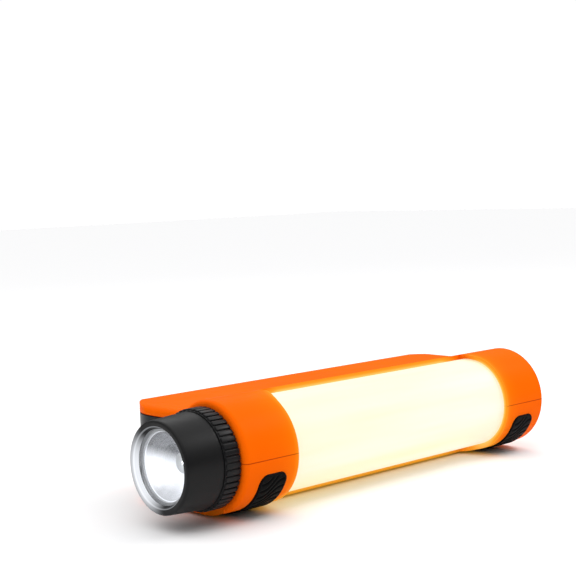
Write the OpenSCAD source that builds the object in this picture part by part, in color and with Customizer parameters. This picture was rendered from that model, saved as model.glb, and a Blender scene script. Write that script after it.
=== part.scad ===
// Jump starter pack: a flat battery slab joined along one side to a lamp drum
// with a focusing torch on its end. Lying on its rubber pads, +Z up.
// Modules are drawn with the drum's axis on X, the torch end face at x = 0 and
// the slab towards +Y; place() moves them to the centre of the footprint.

/* [Case] */
// Length of the orange case without the torch
body_l = 185; // [180:1:195]
// Radius of the lamp drum
drum_r = 22.5; // [22:0.1:23]
// Drum axis to the narrow face of the slab
slab_w = 57.5; // [56:0.5:62]
// Drum axis down to the broad face that carries the pads
face_a = 24; // [23.6:0.1:24.4]
// Drum axis up to the other broad face
face_b = 16.5; // [16:0.1:17]
// Height of the seam between the shells along the slab
seam_z = 12.6; // [12:0.1:12.8]
// Corner radius of the slab seen from above
corner_r = 20; // [18:0.5:22]
// Edge rounding on the pad side
edge_a = 3; // [2.5:0.1:3.2]
// Edge rounding on the other side
edge_b = 4; // [3.6:0.1:5]
// Wall thickness of the shells
wall = 2.2; // [2:0.1:2.4]

/* [Lamp] */
// Case end to the window opening in the drum
window_in = 27; // [25:0.5:32]
// Radius of the diffuser's outside
diffuser_r = 20.2; // [19.8:0.1:20.2]
// Number of lamp diodes
lamp_count = 20; // [10:1:24]

/* [Torch] */
// How far the torch stands out of the case
torch_l = 24.7; // [24:0.1:26]
// Radius over the ribs of the focus ring
ring_r = 20.1; // [19.8:0.1:20.4]
// Number of ribs on the focus ring
rib_count = 48; // [36:2:60]
// Radius of the fixed barrel inside the torch
barrel_r = 14; // [13.8:0.1:14.2]
// Running clearance of ring and head on the barrel
run_gap = 0.06; // [0.03:0.01:0.09]
// Base radius of the bezel
bezel_r = 19.1; // [18.8:0.1:19.3]
// Front radius of the bezel
bezel_front_r = 18.15; // [17.8:0.05:18.6]

/* [Narrow face] */
// Near end of the display window
display_x = 59; // [56:0.5:60]
// Length of the display window
display_l = 15.7; // [14:0.1:16]
// Near end of the rubber cover
cover_x = 80; // [79:0.5:82]
// Length of the rubber cover
cover_l = 55.3; // [54:0.1:58]
// Width of the display and of the rubber cover
cover_w = 26.2; // [24:0.1:26.4]
// How far the rubber cover stands proud
cover_proud = 0.8; // [0.6:0.1:1]

/* [Pads] */
// Width of the rubber pads
pad_w = 14; // [12:0.5:15]
// Pad centre to the end of the case
pad_in = 14.5; // [14:0.1:15]
// How far the pads stand proud
pad_proud = 0.7; // [0.5:0.1:1]

/* [Hidden] */
$fa = 4;
$fs = 0.4;
eps = 0.01;
face_mid = 5.5 - face_a / 2;                // middle of the display and the cover
end_x = body_l;
sole_r = 40;                               // soft curve from drum to flat face
sole_y = 8;
web_r = 8;                                 // hollow between drum and slab top
web_z = face_b + web_r;
web_y = sqrt(pow(drum_r + web_r - 0.15, 2) - pow(web_z, 2));
lip_y = 4.4;                               // edge of the window on the pad side
tab_top = slab_w + 1.4;
mid_x = (body_l - torch_l) / 2;
mid_y = (tab_top - drum_r) / 2;
base_z = face_a + pad_proud;
hinge_x = 18.3;                            // socket cover hinge
hinge_y = slab_w - 2.1;
door_gap = 0.3;
door_y = 24.3;                             // edge of the socket cover by the torch
rim_z = -face_a + 3;                       // top of the pad-side rim
sock_y = 33;                               // jump socket
sock_z = [-11, 1];
board_y = 42;
button_x = 89.4;
flap_x = cover_x + 19.2;                   // bending line of the rubber cover
screw_at = [[pad_in, 14, 0], [pad_in, 44, 2],
            [body_l - pad_in, 14, 0], [body_l - pad_in, 44, 2]];
cell_x = 32;
cell_l = 118;
cell_y = 8;
cell_w = 32;
cell_t = 10.5;
cell_z = [-19.7, -9.1, 1.5];

module place() translate([-mid_x, -mid_y, base_z]) children();

// ---- drawing helpers ----
// run a (y, z) drawing along X
module x_run(x0, x1) translate([x0, 0, 0]) rotate([90, 0, 90])
  linear_extrude(height = x1 - x0) children();
// run an (x, z) drawing along Y
module y_run(y0, y1) translate([0, y1, 0]) rotate([90, 0, 0])
  linear_extrude(height = y1 - y0) children();
// run an (x, y) drawing along Z
module z_run(z0, z1) translate([0, 0, z0]) linear_extrude(height = z1 - z0) children();
// spin an (r, x) drawing about the drum's axis
module x_spin() rotate([0, 90, 0]) rotate_extrude() children();
module box(p, q) translate(p) cube([q[0] - p[0], q[1] - p[1], q[2] - p[2]]);
// tube about the drum's axis
module x_tube(x0, x1, ro, ri) translate([x0, 0, 0]) rotate([0, 90, 0]) difference() {
  cylinder(h = x1 - x0, r = ro);
  if (ri > 0) translate([0, 0, -1]) cylinder(h = x1 - x0 + 2, r = ri);
}
module z_rod(x, y, z0, z1, r) translate([x, y, z0]) cylinder(h = z1 - z0, r = r);
// rectangle with its own radius on each corner: r = [low-left, low-right, up-right, up-left]
module plate(p, q, r) {
  rm = max(r);
  difference() {
    translate(p) square([q[0] - p[0], q[1] - p[1]]);
    for (i = [0:3]) if (r[i] > 0) {
      cx = (i == 0 || i == 3) ? p[0] : q[0];
      cy = (i < 2) ? p[1] : q[1];
      sx = (i == 0 || i == 3) ? 1 : -1;
      sy = (i < 2) ? 1 : -1;
      difference() {
        translate([cx + (sx > 0 ? -1 : -r[i]), cy + (sy > 0 ? -1 : -r[i])])
          square(r[i] + 1);
        translate([cx + sx * r[i], cy + sy * r[i]]) circle(r = r[i]);
      }
    }
  }
}
// flat cable through a list of (x, y) points, square to the axes
module lane(pts, w) for (i = [0 : len(pts) - 2]) {
  p = pts[i];
  q = pts[i + 1];
  translate([min(p[0], q[0]) - w / 2, min(p[1], q[1]) - w / 2])
    square([abs(q[0] - p[0]) + w, abs(q[1] - p[1]) + w]);
}

// ---- case form, o = inset from the outside ----
module drum(o, e) x_spin() plate([0, o], [drum_r - o, body_l - o], [0, e, e, 0]);
module slab_section(o) {
  plate([0, -face_a + o], [slab_w - o, face_b - o],
        [0, max(edge_a - o, 0.5), max(edge_b - o, 0.5), 0]);
}
// flat pad face curving up into the drum
module sole_section(o) intersection() {
  translate([sole_y, sole_r - face_a]) circle(r = sole_r - o);
  translate([-8, -face_a]) square([sole_y + 8, 14]);
}
// hollow curve between drum and slab top
module web_section(o) difference() {
  polygon([[8, 8], [8, 17], [web_y * (drum_r + 1) / (drum_r + web_r),
    web_z * (drum_r + 1) / (drum_r + web_r)], [web_y, face_b + 1.4],
    [web_y, face_b - 3], [web_y, 8]]);
  translate([web_y, web_z]) circle(r = web_r + o);
}
module plan(o) plate([o, -drum_r - 1], [body_l - o, slab_w - o],
                     [0, 0, max(corner_r - o, 1), max(corner_r - o, 1)]);
module side(o) plate([o, -face_a + o - eps], [body_l - o, face_b - o],
                     [2, 2, 3, 3] * (o > 0 ? 0 : 1));
module slab_form(o) intersection() {
  x_run(0, body_l) union() {
    difference() {
      slab_section(o);
      translate([-1, -face_a - 1]) square([sole_y + 1, face_a - 8]);
    }
    sole_section(o);
  }
  z_run(-40, 40) plan(o);
  y_run(-40, 80) side(o);
}
module case_form(o) {
  drum(o, o > 0 ? 0 : 2);
  slab_form(o);
  x_run(1.5 + o, body_l - 1.5 - o) web_section(o);
}

// space below the seam: level with the axis at the lamp, higher along the slab
module below_seam() x_run(-1, body_l + 1) polygon([[-30, 0], [17, 0], [23, seam_z],
  [70, seam_z], [70, -40], [-30, -40]]);
module above_seam() x_run(-1, body_l + 1) polygon([[-30, 0], [17, 0], [23, seam_z],
  [70, seam_z], [70, 40], [-30, 40]]);

// window in the drum: open towards the lamp side, rounded at its four corners
function win_pt(a, t, s, e) = let(th = a - 45 * (1 - sin(t)))
  [e ? body_l - window_in - 14 * (1 - cos(t)) : window_in + 14 * (1 - cos(t)),
   s * ((s < 0 ? face_a : drum_r) + 0.6) * sin(min(th, 90))];
module window_outline() {
  st = [0 : 10 : 90];
  a = 95;
  polygon(concat(
    [for (t = st) win_pt(a, t, -1, true)],
    [[body_l - window_in - 14, -30], [window_in + 14, -30]],
    [for (t = st) win_pt(a, 90 - t, -1, false)],
    [for (t = st) win_pt(a, t, 1, false)],
    [[window_in + 14, 30], [body_l - window_in - 14, 30]],
    [for (t = st) win_pt(a, 90 - t, 1, true)]));
}
module window_cut() y_run(-40, lip_y) window_outline();

// pad outline, g = grown by g
module pad_band(x, oo, oi, g) intersection() {
  x_run(x - pad_w / 2 - g, x + pad_w / 2 + g) difference() {
    union() {
      circle(r = drum_r - oo);
      translate([sole_y, sole_r - face_a]) intersection() {
        circle(r = sole_r - oo);
        translate([-16, -sole_r - 2]) square([16, 20]);
      }
      translate([sole_y, -face_a + oo]) square([46, 10]);
    }
    circle(r = drum_r - oi);
    translate([sole_y, sole_r - face_a]) intersection() {
      circle(r = sole_r - oi);
      translate([-16 - 2, -sole_r - 2]) square([18 + eps, 20]);
    }
    translate([sole_y, -face_a + oi]) square([60, 20]);
  }
  z_run(-40, 0) union() {
    translate([x - pad_w / 2 - g, -40]) square([pad_w + 2 * g, 85]);
    translate([x, 45]) circle(r = pad_w / 2 + g);
  }
  y_run(-40, 60) plate([x - pad_w / 2 - g, -40], [x + pad_w / 2 + g, -5.8 + g],
                       [0, 0, 4, 4]);
  box([x - 20, -40, -40], [x + 20, 52 + g, -5]);
}

// ---- shells ----
module screw_bore(s, z0, z1, r) z_rod(s[0], s[1], z0, z1, r);

module lower_shell() place() color("darkorange") {
  difference() {
    union() {
      difference() {
        intersection() { case_form(0); below_seam(); }
        case_form(wall);
        // opening under the socket cover
        box([-1, door_y - 0.4, rim_z], [20.7, slab_w + 1, seam_z + 1]);
      }
      intersection() {
        union() {
          for (s = screw_at) {
            z_rod(s[0], s[1], -face_a + wall - 0.2, s[2], 3.6);
            z_rod(s[0], s[1], -face_a + wall - 0.2, -16.5, 5);
          }
          // ring that holds the barrel's flange
          x_tube(4.4, 6.2, 20.9, 15);
          // sill under the diffuser's edge
          box([window_in - 3, lip_y, -face_a + wall - 0.2],
              [body_l - window_in + 3, lip_y + 2, -19.95]);
          // slotted ribs that hold the main board
          for (x = [48, 147.5]) box([x, 39 + 1.4, -face_a + wall - 0.2], [x + 4.5, 45.4, 4]);
          // ribs behind the lamp reflector
          for (x = [27, 156]) box([x, 7.4, -face_a + wall - 0.2], [x + 2.5, 9.9, -0.2]);
        }
        below_seam();
      }
    }
    // torch hole
    x_tube(-1, 4.35, barrel_r + 0.15, 0);
    window_cut();
    for (x = [pad_in, body_l - pad_in]) pad_band(x, -2, 1, 0.1);
    for (s = screw_at) {
      screw_bore(s, -30, -20.3, 3.2);
      screw_bore(s, -21, 20, 1.55);
    }
    // board slots
    box([51.9, board_y - 0.1, -19.1], [147.6 + 0.5, board_y + 1.7, 6]);
    // display window
    y_run(slab_w - 5, slab_w + 1) plate([display_x - 0.1, face_mid - cover_w / 2 - 0.1],
      [display_x + display_l + 0.1, face_mid + cover_w / 2 + 0.1], [1.3, 1.3, 1.3, 1.3]);
    // pocket of the rubber cover
    y_run(slab_w - 1.5, slab_w + 1) plate([cover_x - 0.1, face_mid - cover_w / 2 - 0.35],
      [cover_x + cover_l + 0.35, face_mid + cover_w / 2 + 0.35], [3.8, 3.8, 3.8, 3.8]);
    translate([button_x, slab_w - 5, face_mid]) rotate([-90, 0, 0]) cylinder(h = 6, r = 8.6);
    box([104.2, slab_w - 5, -13.9], [111.6, slab_w + 1, 0.9]);
    box([121, slab_w - 5, -11.2], [124.8, slab_w + 1, -1.8]);
    // socket cover pin
    z_rod(hinge_x, hinge_y, -23, -20, 0.82);
  }
}

module upper_shell() place() color("orange") {
  difference() {
    union() {
      difference() {
        intersection() { case_form(0); above_seam(); }
        case_form(wall);
      }
      intersection() {
        union() {
          x_tube(4.4, 6.2, 20.9, 15);
          for (s = screw_at) if (s[1] < 20) z_rod(s[0], s[1], 0, 16, 3.6);
        }
        intersection() { above_seam(); x_tube(0, body_l, 21, 0); }
      }
      for (s = screw_at) if (s[1] > 20) z_rod(s[0], s[1], s[2], face_b - wall + 0.2, 3.6);
      // boss for the socket cover pin
      intersection() {
        z_rod(hinge_x, hinge_y - 0.3, seam_z + 0.1, face_b - wall + 0.3, 2.1);
        case_form(0.2);
      }
    }
    x_tube(-1, 4.35, barrel_r + 0.15, 0);
    window_cut();
    for (s = screw_at) screw_bore(s, -1, s[2] + 10.5, 1.55);
    z_rod(hinge_x, hinge_y, seam_z - 1, 14.4, 0.82);
  }
}

// ---- lamp ----
module lamp_diffuser() place() color("ivory") rotate([0, 90, 0]) rotate([0, 0, 90 + 77])
  rotate_extrude(angle = 206)
    translate([diffuser_r - 2, window_in - 3]) square([2, body_l - 2 * window_in + 6]);

module lamp_reflector() place() color("white") x_run(window_in + 3, body_l - window_in - 3)
  polygon([[6.1, -15], [1, -17.6], [0.4, -16.6], [5, -14.2], [6, -13.9], [6, 13.9],
           [5, 14.2], [0.4, 16.6], [1, 17.6], [6.1, 15], [7.2, 14], [7.2, -14]]);

module lamp_board() place() color("whitesmoke") difference() {
  box([34, 4.4, -5], [151, 5.95, 5]);
  for (x = [38, 92.5, 147]) translate([x, 3, 0]) rotate([-90, 0, 0]) cylinder(h = 4, r = 1);
}

module lamp_leds() place() color("gold") for (i = [0 : lamp_count - 1]) {
  x = 41.2 + i * (102.6 / (lamp_count - 1));
  box([x - 1.4, 3.55, 1.6], [x + 1.4, 4.38, 4.4]);
}

// ---- torch ----
module torch_barrel() place() color("dimgray") difference() {
  union() {
    x_tube(-18, 9, barrel_r, barrel_r - 1.6);
    x_tube(2.3, 4.3, barrel_r + 3.4, barrel_r - 1);
  }
  x_tube(-8.85, -7.85, barrel_r + 1, barrel_r - 0.6);
  x_tube(-15.6, -14.4, barrel_r + 1, barrel_r - 1);
}

module ring_retainer() place() color("silver") translate([-8.8, 0, 0]) rotate([0, 90, 0])
  rotate([0, 0, 15]) rotate_extrude(angle = 330)
    translate([barrel_r - 0.55, 0]) square([1.75, 0.9]);

module barrel_seal() place() color("black") translate([-15, 0, 0]) rotate([0, 90, 0])
  rotate_extrude() translate([barrel_r - 0.5, 0]) circle(r = 0.48);

module focus_ring() place() color("black") difference() {
  x_tube(-7.6, -0.4, ring_r, barrel_r + run_gap);
  for (i = [0 : rib_count - 1]) rotate([i * 360 / rib_count, 0, 0])
    box([-8, ring_r - 0.7, -0.3], [-1.1, ring_r + 1, 0.3]);
}

module torch_bezel() place() color("black") x_spin() polygon([[16.5, -7.9],
  [bezel_r, -7.9], [bezel_front_r, -torch_l + 0.6], [bezel_front_r - 0.6, -torch_l],
  [15.6, -torch_l], [14.6, -torch_l + 2], [15.3, -torch_l + 2], [15.3, -18.7],
  [16.5, -18.7]]);

module head_sleeve() place() color("silver")
  x_tube(-18.6, -11, 16.45, barrel_r + run_gap);

module torch_lens() place() color("lightcyan") x_tube(-torch_l + 2.05, -torch_l + 4, 15.2, 0);

module lens_gasket() place() color("black") x_tube(-torch_l + 4.05, -19.75, 15.2, 13.6);

module torch_reflector() place() color("silver") x_spin() polygon([[13.2, -19.7],
  [15.2, -19.7], [15.2, -18.75], [12, -18.75], [12, -18.2], [5, -12.2], [4, -12.2]]);

module torch_heatsink() place() color("silver") difference() {
  x_tube(-8, 5, barrel_r - 1.65, 0);
  translate([-9, 0, 8.2]) rotate([0, 90, 0]) cylinder(h = 16, r = 1.2);
  for (x = [-5, -2, 1]) x_tube(x, x + 1.5, barrel_r, barrel_r - 4);
}

module torch_board() place() color("white") x_tube(-9.5, -8.05, 11.5, 0);

module torch_led() place() color("gold") {
  box([-10.4, -1.75, -1.75], [-9.55, 1.75, 1.75]);
  translate([-10.4, 0, 0]) rotate([0, -90, 0]) cylinder(h = 1.2, r1 = 1.5, r2 = 0.9);
}

// ---- jump socket behind its corner cover ----
module ring_plan(o, i) difference() { plan(o); plan(i); }

module socket_cover() place() color("black") difference() {
  union() {
    intersection() {
      z_run(rim_z + door_gap, seam_z - door_gap) ring_plan(0, 1.8);
      box([-1, door_y, -30], [hinge_x, slab_w + 1, 30]);
    }
    z_rod(hinge_x, hinge_y, rim_z + door_gap, seam_z - door_gap, 2.1);
  }
  z_rod(hinge_x, hinge_y, -30, 30, 0.8 + run_gap);
}

module socket_cover_pin() place() color("silver") z_rod(hinge_x, hinge_y, -22.9, 14.2, 0.8);

module corner_frame() place() color("black") difference() {
  union() {
    intersection() {
      z_run(-face_a + wall + 0.05, face_b - wall - 1.3) ring_plan(2.3, 3.9);
      box([-1, door_y - 0.9, -30], [15.6, slab_w + 1, 30]);
    }
    box([11.5, slab_w - 6.3, -face_a + wall + 0.05], [23, slab_w - 4.8, face_b - wall - 0.05]);
  }
  box([1, sock_y - 6.1, -17.1], [5, sock_y + 6.1, 7.1]);
}

module jump_socket() place() color("royalblue") difference() {
  y_run(sock_y - 6, sock_y + 6) plate([2.4, -17], [24, 7], [1, 1, 1, 1]);
  for (z = sock_z) translate([0, sock_y, z]) rotate([0, 90, 0]) cylinder(h = 30, r = 3.5);
}

module socket_contacts() place() color("gold") for (z = sock_z)
  translate([3.4, sock_y, z]) rotate([0, 90, 0]) difference() {
    union() { cylinder(h = 17, r = 3.4); cylinder(h = 22.4, r = 2); }
    translate([0, 0, -1]) cylinder(h = 15, r = 2.5);
  }

// ---- display, button and ports ----
module display_window() place() color("navy") y_run(slab_w - 2.1, slab_w - 0.1)
  plate([display_x, face_mid - cover_w / 2], [display_x + display_l, face_mid + cover_w / 2],
        [1.2, 1.2, 1.2, 1.2]);

// one lit bar, c = centre (x, z), l = length along z, w = along x
module bar(c, l, w) box([c[0] - w / 2, slab_w - 2.45, c[1] - l / 2],
                        [c[0] + w / 2, slab_w - 2.2, c[1] + l / 2]);
// seven bars, upright with the torch end up; on = which are lit
module digit(x, z, on) {
  h = 4.1; w = 2.9;
  if (on[0]) bar([x - h - 0.05, z], 3.9, 1.2);
  if (on[1]) bar([x, z], 3.9, 1.2);
  if (on[2]) bar([x + h + 0.05, z], 3.9, 1.2);
  if (on[3]) bar([x - h / 2, z + w], 1.2, 2.5);
  if (on[4]) bar([x - h / 2, z - w], 1.2, 2.5);
  if (on[5]) bar([x + h / 2, z + w], 1.2, 2.5);
  if (on[6]) bar([x + h / 2, z - w], 1.2, 2.5);
}
module display_digits() place() color("white") {
  dx = display_x + 7.7;
  digit(dx, face_mid + 7.3, [1, 1, 1, 1, 1, 1, 1]);
  digit(dx, face_mid - 3.5, [1, 1, 1, 0, 1, 0, 1]);
  bar([dx + 2.3, face_mid - 9.4], 0.9, 0.9);
  bar([dx + 4.3, face_mid - 11.6], 0.9, 0.9);
  translate([dx + 3.3, 0, face_mid - 10.5]) rotate([0, -40, 0])
    translate([-dx - 3.3, 0, -face_mid + 10.5]) bar([dx + 3.3, face_mid - 10.5], 0.5, 3.2);
}

module display_module() place() color("black")
  box([display_x + 0.5, board_y + 1.65, face_mid - cover_w / 2 + 0.7],
      [display_x + display_l - 0.5, slab_w - 2.5, face_mid + cover_w / 2 - 0.7]);

module button_surround() place() color("black") difference() {
  y_run(slab_w - 1.5, slab_w + cover_proud)
    plate([cover_x, face_mid - cover_w / 2], [flap_x - 0.35, face_mid + cover_w / 2],
          [3.5, 0, 0, 3.5]);
  translate([button_x, slab_w - 3, face_mid]) rotate([-90, 0, 0]) cylinder(h = 6, r = 8.25);
}

module power_button() place() color("black") translate([button_x, 0, face_mid]) {
  difference() {
    union() {
      translate([0, slab_w - 1.3, 0]) rotate([-90, 0, 0]) cylinder(h = 2.2, r = 7.9);
      // raised ring and bar of the on mark
      translate([0, slab_w + 0.8, 0]) rotate([-90, 0, 0]) difference() {
        cylinder(h = 0.4, r = 6.6);
        translate([0, 0, -1]) cylinder(h = 2, r = 5.6);
        translate([-8, -1.4, -1]) cube([5, 2.8, 3]);
      }
      box([-6.8, slab_w + 0.7, -0.5], [-1.6, slab_w + 1.2, 0.5]);
    }
  }
  translate([0, slab_w - 2.6, 0]) rotate([-90, 0, 0]) cylinder(h = 1.4, r = 2);
}

module button_switch() place() color("dimgray") {
  box([button_x - 3, board_y + 1.65, face_mid - 3], [button_x + 3, 51, face_mid + 3]);
  translate([button_x, 50.9, face_mid]) rotate([-90, 0, 0]) cylinder(h = 2.7, r = 1.7);
}

module port_cover() place() color("black") difference() {
  union() {
    y_run(slab_w - 1.15, slab_w + cover_proud)
      plate([flap_x, face_mid - cover_w / 2], [cover_x + cover_l, face_mid + cover_w / 2],
            [0, 3.5, 3.5, 0]);
    // pull tab
    y_run(slab_w + 0.35, tab_top) plate([cover_x + cover_l - 4, face_mid - 3.9],
      [cover_x + cover_l + 4.2, face_mid + 5.7], [1.5, 1.5, 1.5, 1.5]);
  }
  // sunk marks
  for (z = [-3.2, 0, 3.2]) box([107, slab_w + 0.5, face_mid + z - 0.5],
                               [116, slab_w + 1, face_mid + z + 0.5]);
  translate([124, 0, face_mid]) rotate([0, 35, 0])
    box([-4.5, slab_w + 0.5, -0.5], [4.5, slab_w + 1, 0.5]);
}

module usb_a_port() place() color("silver") {
  difference() {
    box([104.4, board_y + 1.65, -13.7], [111.4, slab_w - 1.6, 0.7]);
    box([104.8, 45.5, -13.3], [111, slab_w, 0.3]);
  }
  box([107.6, 45.4, -12.2], [109.5, 54.8, -0.8]);
}

module usb_c_port() place() color("silver") {
  difference() {
    y_run(board_y + 1.65, slab_w - 1.6) plate([121.2, -11], [124.6, -2], [1.6, 1.6, 1.6, 1.6]);
    y_run(47.5, slab_w) plate([121.55, -10.65], [124.25, -2.35], [1.3, 1.3, 1.3, 1.3]);
  }
  box([122.55, 47.4, -9.8], [123.25, 54.8, -3.2]);
}

module main_board() place() color("darkgreen") {
  box([52, board_y, -19], [147.4, board_y + 1.6, 4.9]);
  // tall parts on the front
  for (x = [82, 97.5]) translate([x, board_y + 1.55, 0.5]) rotate([-90, 0, 0])
    cylinder(h = 7, r = 2.5);
  box([128, board_y + 1.55, -14], [138, board_y + 6, -2]);
  box([77, board_y + 1.55, -16], [83, board_y + 4.2, -8]);
}

// ---- battery ----
module battery_cells() place() color("lightsteelblue") for (z = cell_z)
  x_run(cell_x, cell_x + cell_l)
    plate([cell_y, z], [cell_y + cell_w, z + cell_t], [1.5, 1.5, 1.5, 1.5]);

module cell_straps() place() color("silver") {
  box([cell_x - 0.6, sock_y - 4, -13], [cell_x - 0.05, sock_y + 4, -5]);
  box([cell_x - 0.6, sock_y - 4, -3], [cell_x - 0.05, sock_y + 4, 8]);
  box([cell_x + cell_l + 0.05, 12, -15], [cell_x + cell_l + 0.6, 22, 8]);
}

module foam_pads() place() color("gray") {
  box([34, 10, -face_a + wall + 0.05], [148, 38, cell_z[0] - 0.05]);
  box([34, 21, cell_z[2] + cell_t + 0.05], [148, 38, face_b - wall - 0.05]);
}

module power_leads() place() color("red") for (z = sock_z)
  translate([25.85, sock_y, z]) rotate([0, 90, 0]) cylinder(h = cell_x - 0.65 - 25.85, r = 2.4);

module torch_wire() place() color("red") z_run(7.6, 8.8)
  lane([[5.6, 0], [20.5, 0], [20.5, 24], [26, 24], [26, 41], [57, 41]], 1);

module lamp_wire() place() color("red") z_run(4.4, 5.6)
  lane([[33.4, 5.2], [28.4, 5.2], [28.4, 41], [55, 41]], 0.9);

// ---- pads and screws ----
module pad(x, s) difference() {
  pad_band(x, -pad_proud, 0.95, 0);
  // slanted grooves along the flat part and up round the drum
  for (i = [0 : 12]) translate([x, 3 + i * 3.6, 0]) rotate([0, 0, 35 * s])
    box([-9, -0.4, -face_a - 2], [9, 0.4, -face_a - 0.2]);
  for (a = [22 : 8.5 : 74]) rotate([a, 0, 0]) translate([x, 0, 0]) rotate([0, 25 * s, 0])
    box([-8, -drum_r - 2, -0.4], [8, -drum_r - 0.2, 0.4]);
}
module front_pad() place() color("black") pad(pad_in, 1);
module rear_pad() place() color("black") pad(body_l - pad_in, 1);

module shell_screws() place() color("silver") for (s = screw_at) difference() {
  union() {
    z_rod(s[0], s[1], -22.6, -20.35, 3);
    z_rod(s[0], s[1], -20.4, s[2] + 10, 1.5);
  }
  translate([s[0], s[1], -23]) cylinder(h = 1.6, r = 1.1, $fn = 6);
}

lower_shell();
upper_shell();
lamp_diffuser();
lamp_reflector();
lamp_board();
lamp_leds();
torch_barrel();
ring_retainer();
barrel_seal();
focus_ring();
torch_bezel();
head_sleeve();
torch_lens();
lens_gasket();
torch_reflector();
torch_heatsink();
torch_board();
torch_led();
socket_cover();
socket_cover_pin();
corner_frame();
jump_socket();
socket_contacts();
display_window();
display_digits();
display_module();
button_surround();
power_button();
button_switch();
port_cover();
usb_a_port();
usb_c_port();
main_board();
battery_cells();
cell_straps();
foam_pads();
power_leads();
torch_wire();
lamp_wire();
front_pad();
rear_pad();
shell_screws();
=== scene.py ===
import math
import bpy
import bmesh
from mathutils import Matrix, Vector


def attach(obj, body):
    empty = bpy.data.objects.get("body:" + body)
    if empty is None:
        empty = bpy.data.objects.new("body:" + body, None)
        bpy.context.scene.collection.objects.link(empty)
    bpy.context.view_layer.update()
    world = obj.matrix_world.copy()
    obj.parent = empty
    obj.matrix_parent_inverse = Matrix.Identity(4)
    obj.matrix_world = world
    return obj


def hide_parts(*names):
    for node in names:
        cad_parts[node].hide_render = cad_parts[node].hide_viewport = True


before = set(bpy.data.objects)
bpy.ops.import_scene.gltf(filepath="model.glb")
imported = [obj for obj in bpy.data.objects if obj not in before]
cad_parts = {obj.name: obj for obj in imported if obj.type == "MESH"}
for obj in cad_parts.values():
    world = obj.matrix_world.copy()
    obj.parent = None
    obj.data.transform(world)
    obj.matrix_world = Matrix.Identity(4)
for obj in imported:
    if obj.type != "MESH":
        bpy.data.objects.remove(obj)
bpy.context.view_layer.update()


# ---------------------------------------------------------------- studio
# A white sweep under soft window-like panels. The pack lies on its two rubber
# pads with the torch towards the viewer, seen a little from above.
scene = bpy.context.scene
scene.view_settings.view_transform = "Standard"

eye = bpy.data.objects.new("eye", bpy.data.cameras.new("eye"))
eye.location = (-0.3964, -0.4116, 0.1286)
eye.rotation_euler = [math.radians(a) for a in (85.56, 2.07, -42.72)]
eye.data.lens = 82.1
eye.data.sensor_width = 36
eye.data.clip_start = 0.01
scene.collection.objects.link(eye)
scene.camera = eye


def add(tree, kind, inputs=(), **settings):
    """A node with its settings and inputs; an input is a value or a socket to link."""
    made = tree.nodes.new(kind)
    for key, value in settings.items():
        setattr(made, key, value)
    for key, value in dict(inputs).items():
        if isinstance(value, bpy.types.NodeSocket):
            tree.links.new(value, made.inputs[key])
        else:
            made.inputs[key].default_value = value
    return made


def panel(name, where, aim, size, watts):
    lamp = bpy.data.objects.new(name, bpy.data.lights.new(name, "AREA"))
    lamp.data.shape = "RECTANGLE"
    lamp.data.size, lamp.data.size_y = size
    lamp.data.energy = watts
    lamp.location = where
    lamp.rotation_euler = (Vector(aim) - Vector(where)).to_track_quat("-Z", "Y").to_euler()
    scene.collection.objects.link(lamp)


panel("key_panel", (-0.75, -0.35, 0.85), (0, 0, 0.03), (0.7, 0.5), 1.8)
panel("side_panel", (0.5, -0.3, 0.58), (-0.09, -0.02, 0.03), (0.35, 0.22), 1.7)
panel("back_panel", (0.25, 0.75, 0.7), (0, 0, 0.03), (0.9, 0.3), 1.0)

sky = bpy.data.worlds.new("white_room")
scene.world = sky
sky.use_nodes = True
room = sky.node_tree
room.nodes.clear()
ray = add(room, "ShaderNodeLightPath")
height = add(room, "ShaderNodeSeparateXYZ",
             {0: add(room, "ShaderNodeTexCoord").outputs["Generated"]})
soft = add(room, "ShaderNodeMapRange", {"Value": height.outputs["Z"], "From Min": 0.0,
                                        "From Max": 1.0, "To Min": 0.03, "To Max": 1.5},
           interpolation_type="SMOOTHSTEP")
level = add(room, "ShaderNodeMix", {0: ray.outputs["Is Camera Ray"], 2: soft.outputs[0], 3: 1.02})
white = add(room, "ShaderNodeBackground", {"Color": (1, 1, 1, 1), "Strength": level.outputs[0]})
add(room, "ShaderNodeOutputWorld", {"Surface": white.outputs[0]})

floor_z = -0.0002        # a hair below the rubber pads
floor_mesh = bpy.data.meshes.new("floor")
floor_mesh.from_pydata([(x, y, floor_z) for x, y in ((-4, -4), (4, -4), (4, 4), (-4, 4))], [],
                       [(0, 1, 2, 3)])
floor = bpy.data.objects.new("floor", floor_mesh)
scene.collection.objects.link(floor)
paper = bpy.data.materials.new("white_paper")
paper.use_nodes = True
tree = paper.node_tree
top = tree.nodes["Principled BSDF"]
top.inputs["Base Color"].default_value = (0.93, 0.93, 0.935, 1)
top.inputs["Roughness"].default_value = 0.8
top.inputs["Specular IOR Level"].default_value = 0.1
side = add(tree, "ShaderNodeMixShader", {
    0: add(tree, "ShaderNodeNewGeometry").outputs["Backfacing"], 1: top.outputs[0],
    2: add(tree, "ShaderNodeBsdfTransparent").outputs[0]})
tree.links.new(side.outputs[0], tree.nodes["Material Output"].inputs["Surface"])
floor_mesh.materials.append(paper)


# ---------------------------------------------------------------- orange shells
# Two injection-moulded ABS shells, screwed together under the pads. They meet
# in a fine line along the drum and the slab. Corners and lips are eased, and
# the lamp's warm light on the wall beside it is painted on as emission.
def at(x, y, z):
    """A point of the case drawing, in mm from the drum's axis at the torch end."""
    return Vector(((x - 80.15) / 1000, (y - 18.2) / 1000, (z + 24.7) / 1000))


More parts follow.
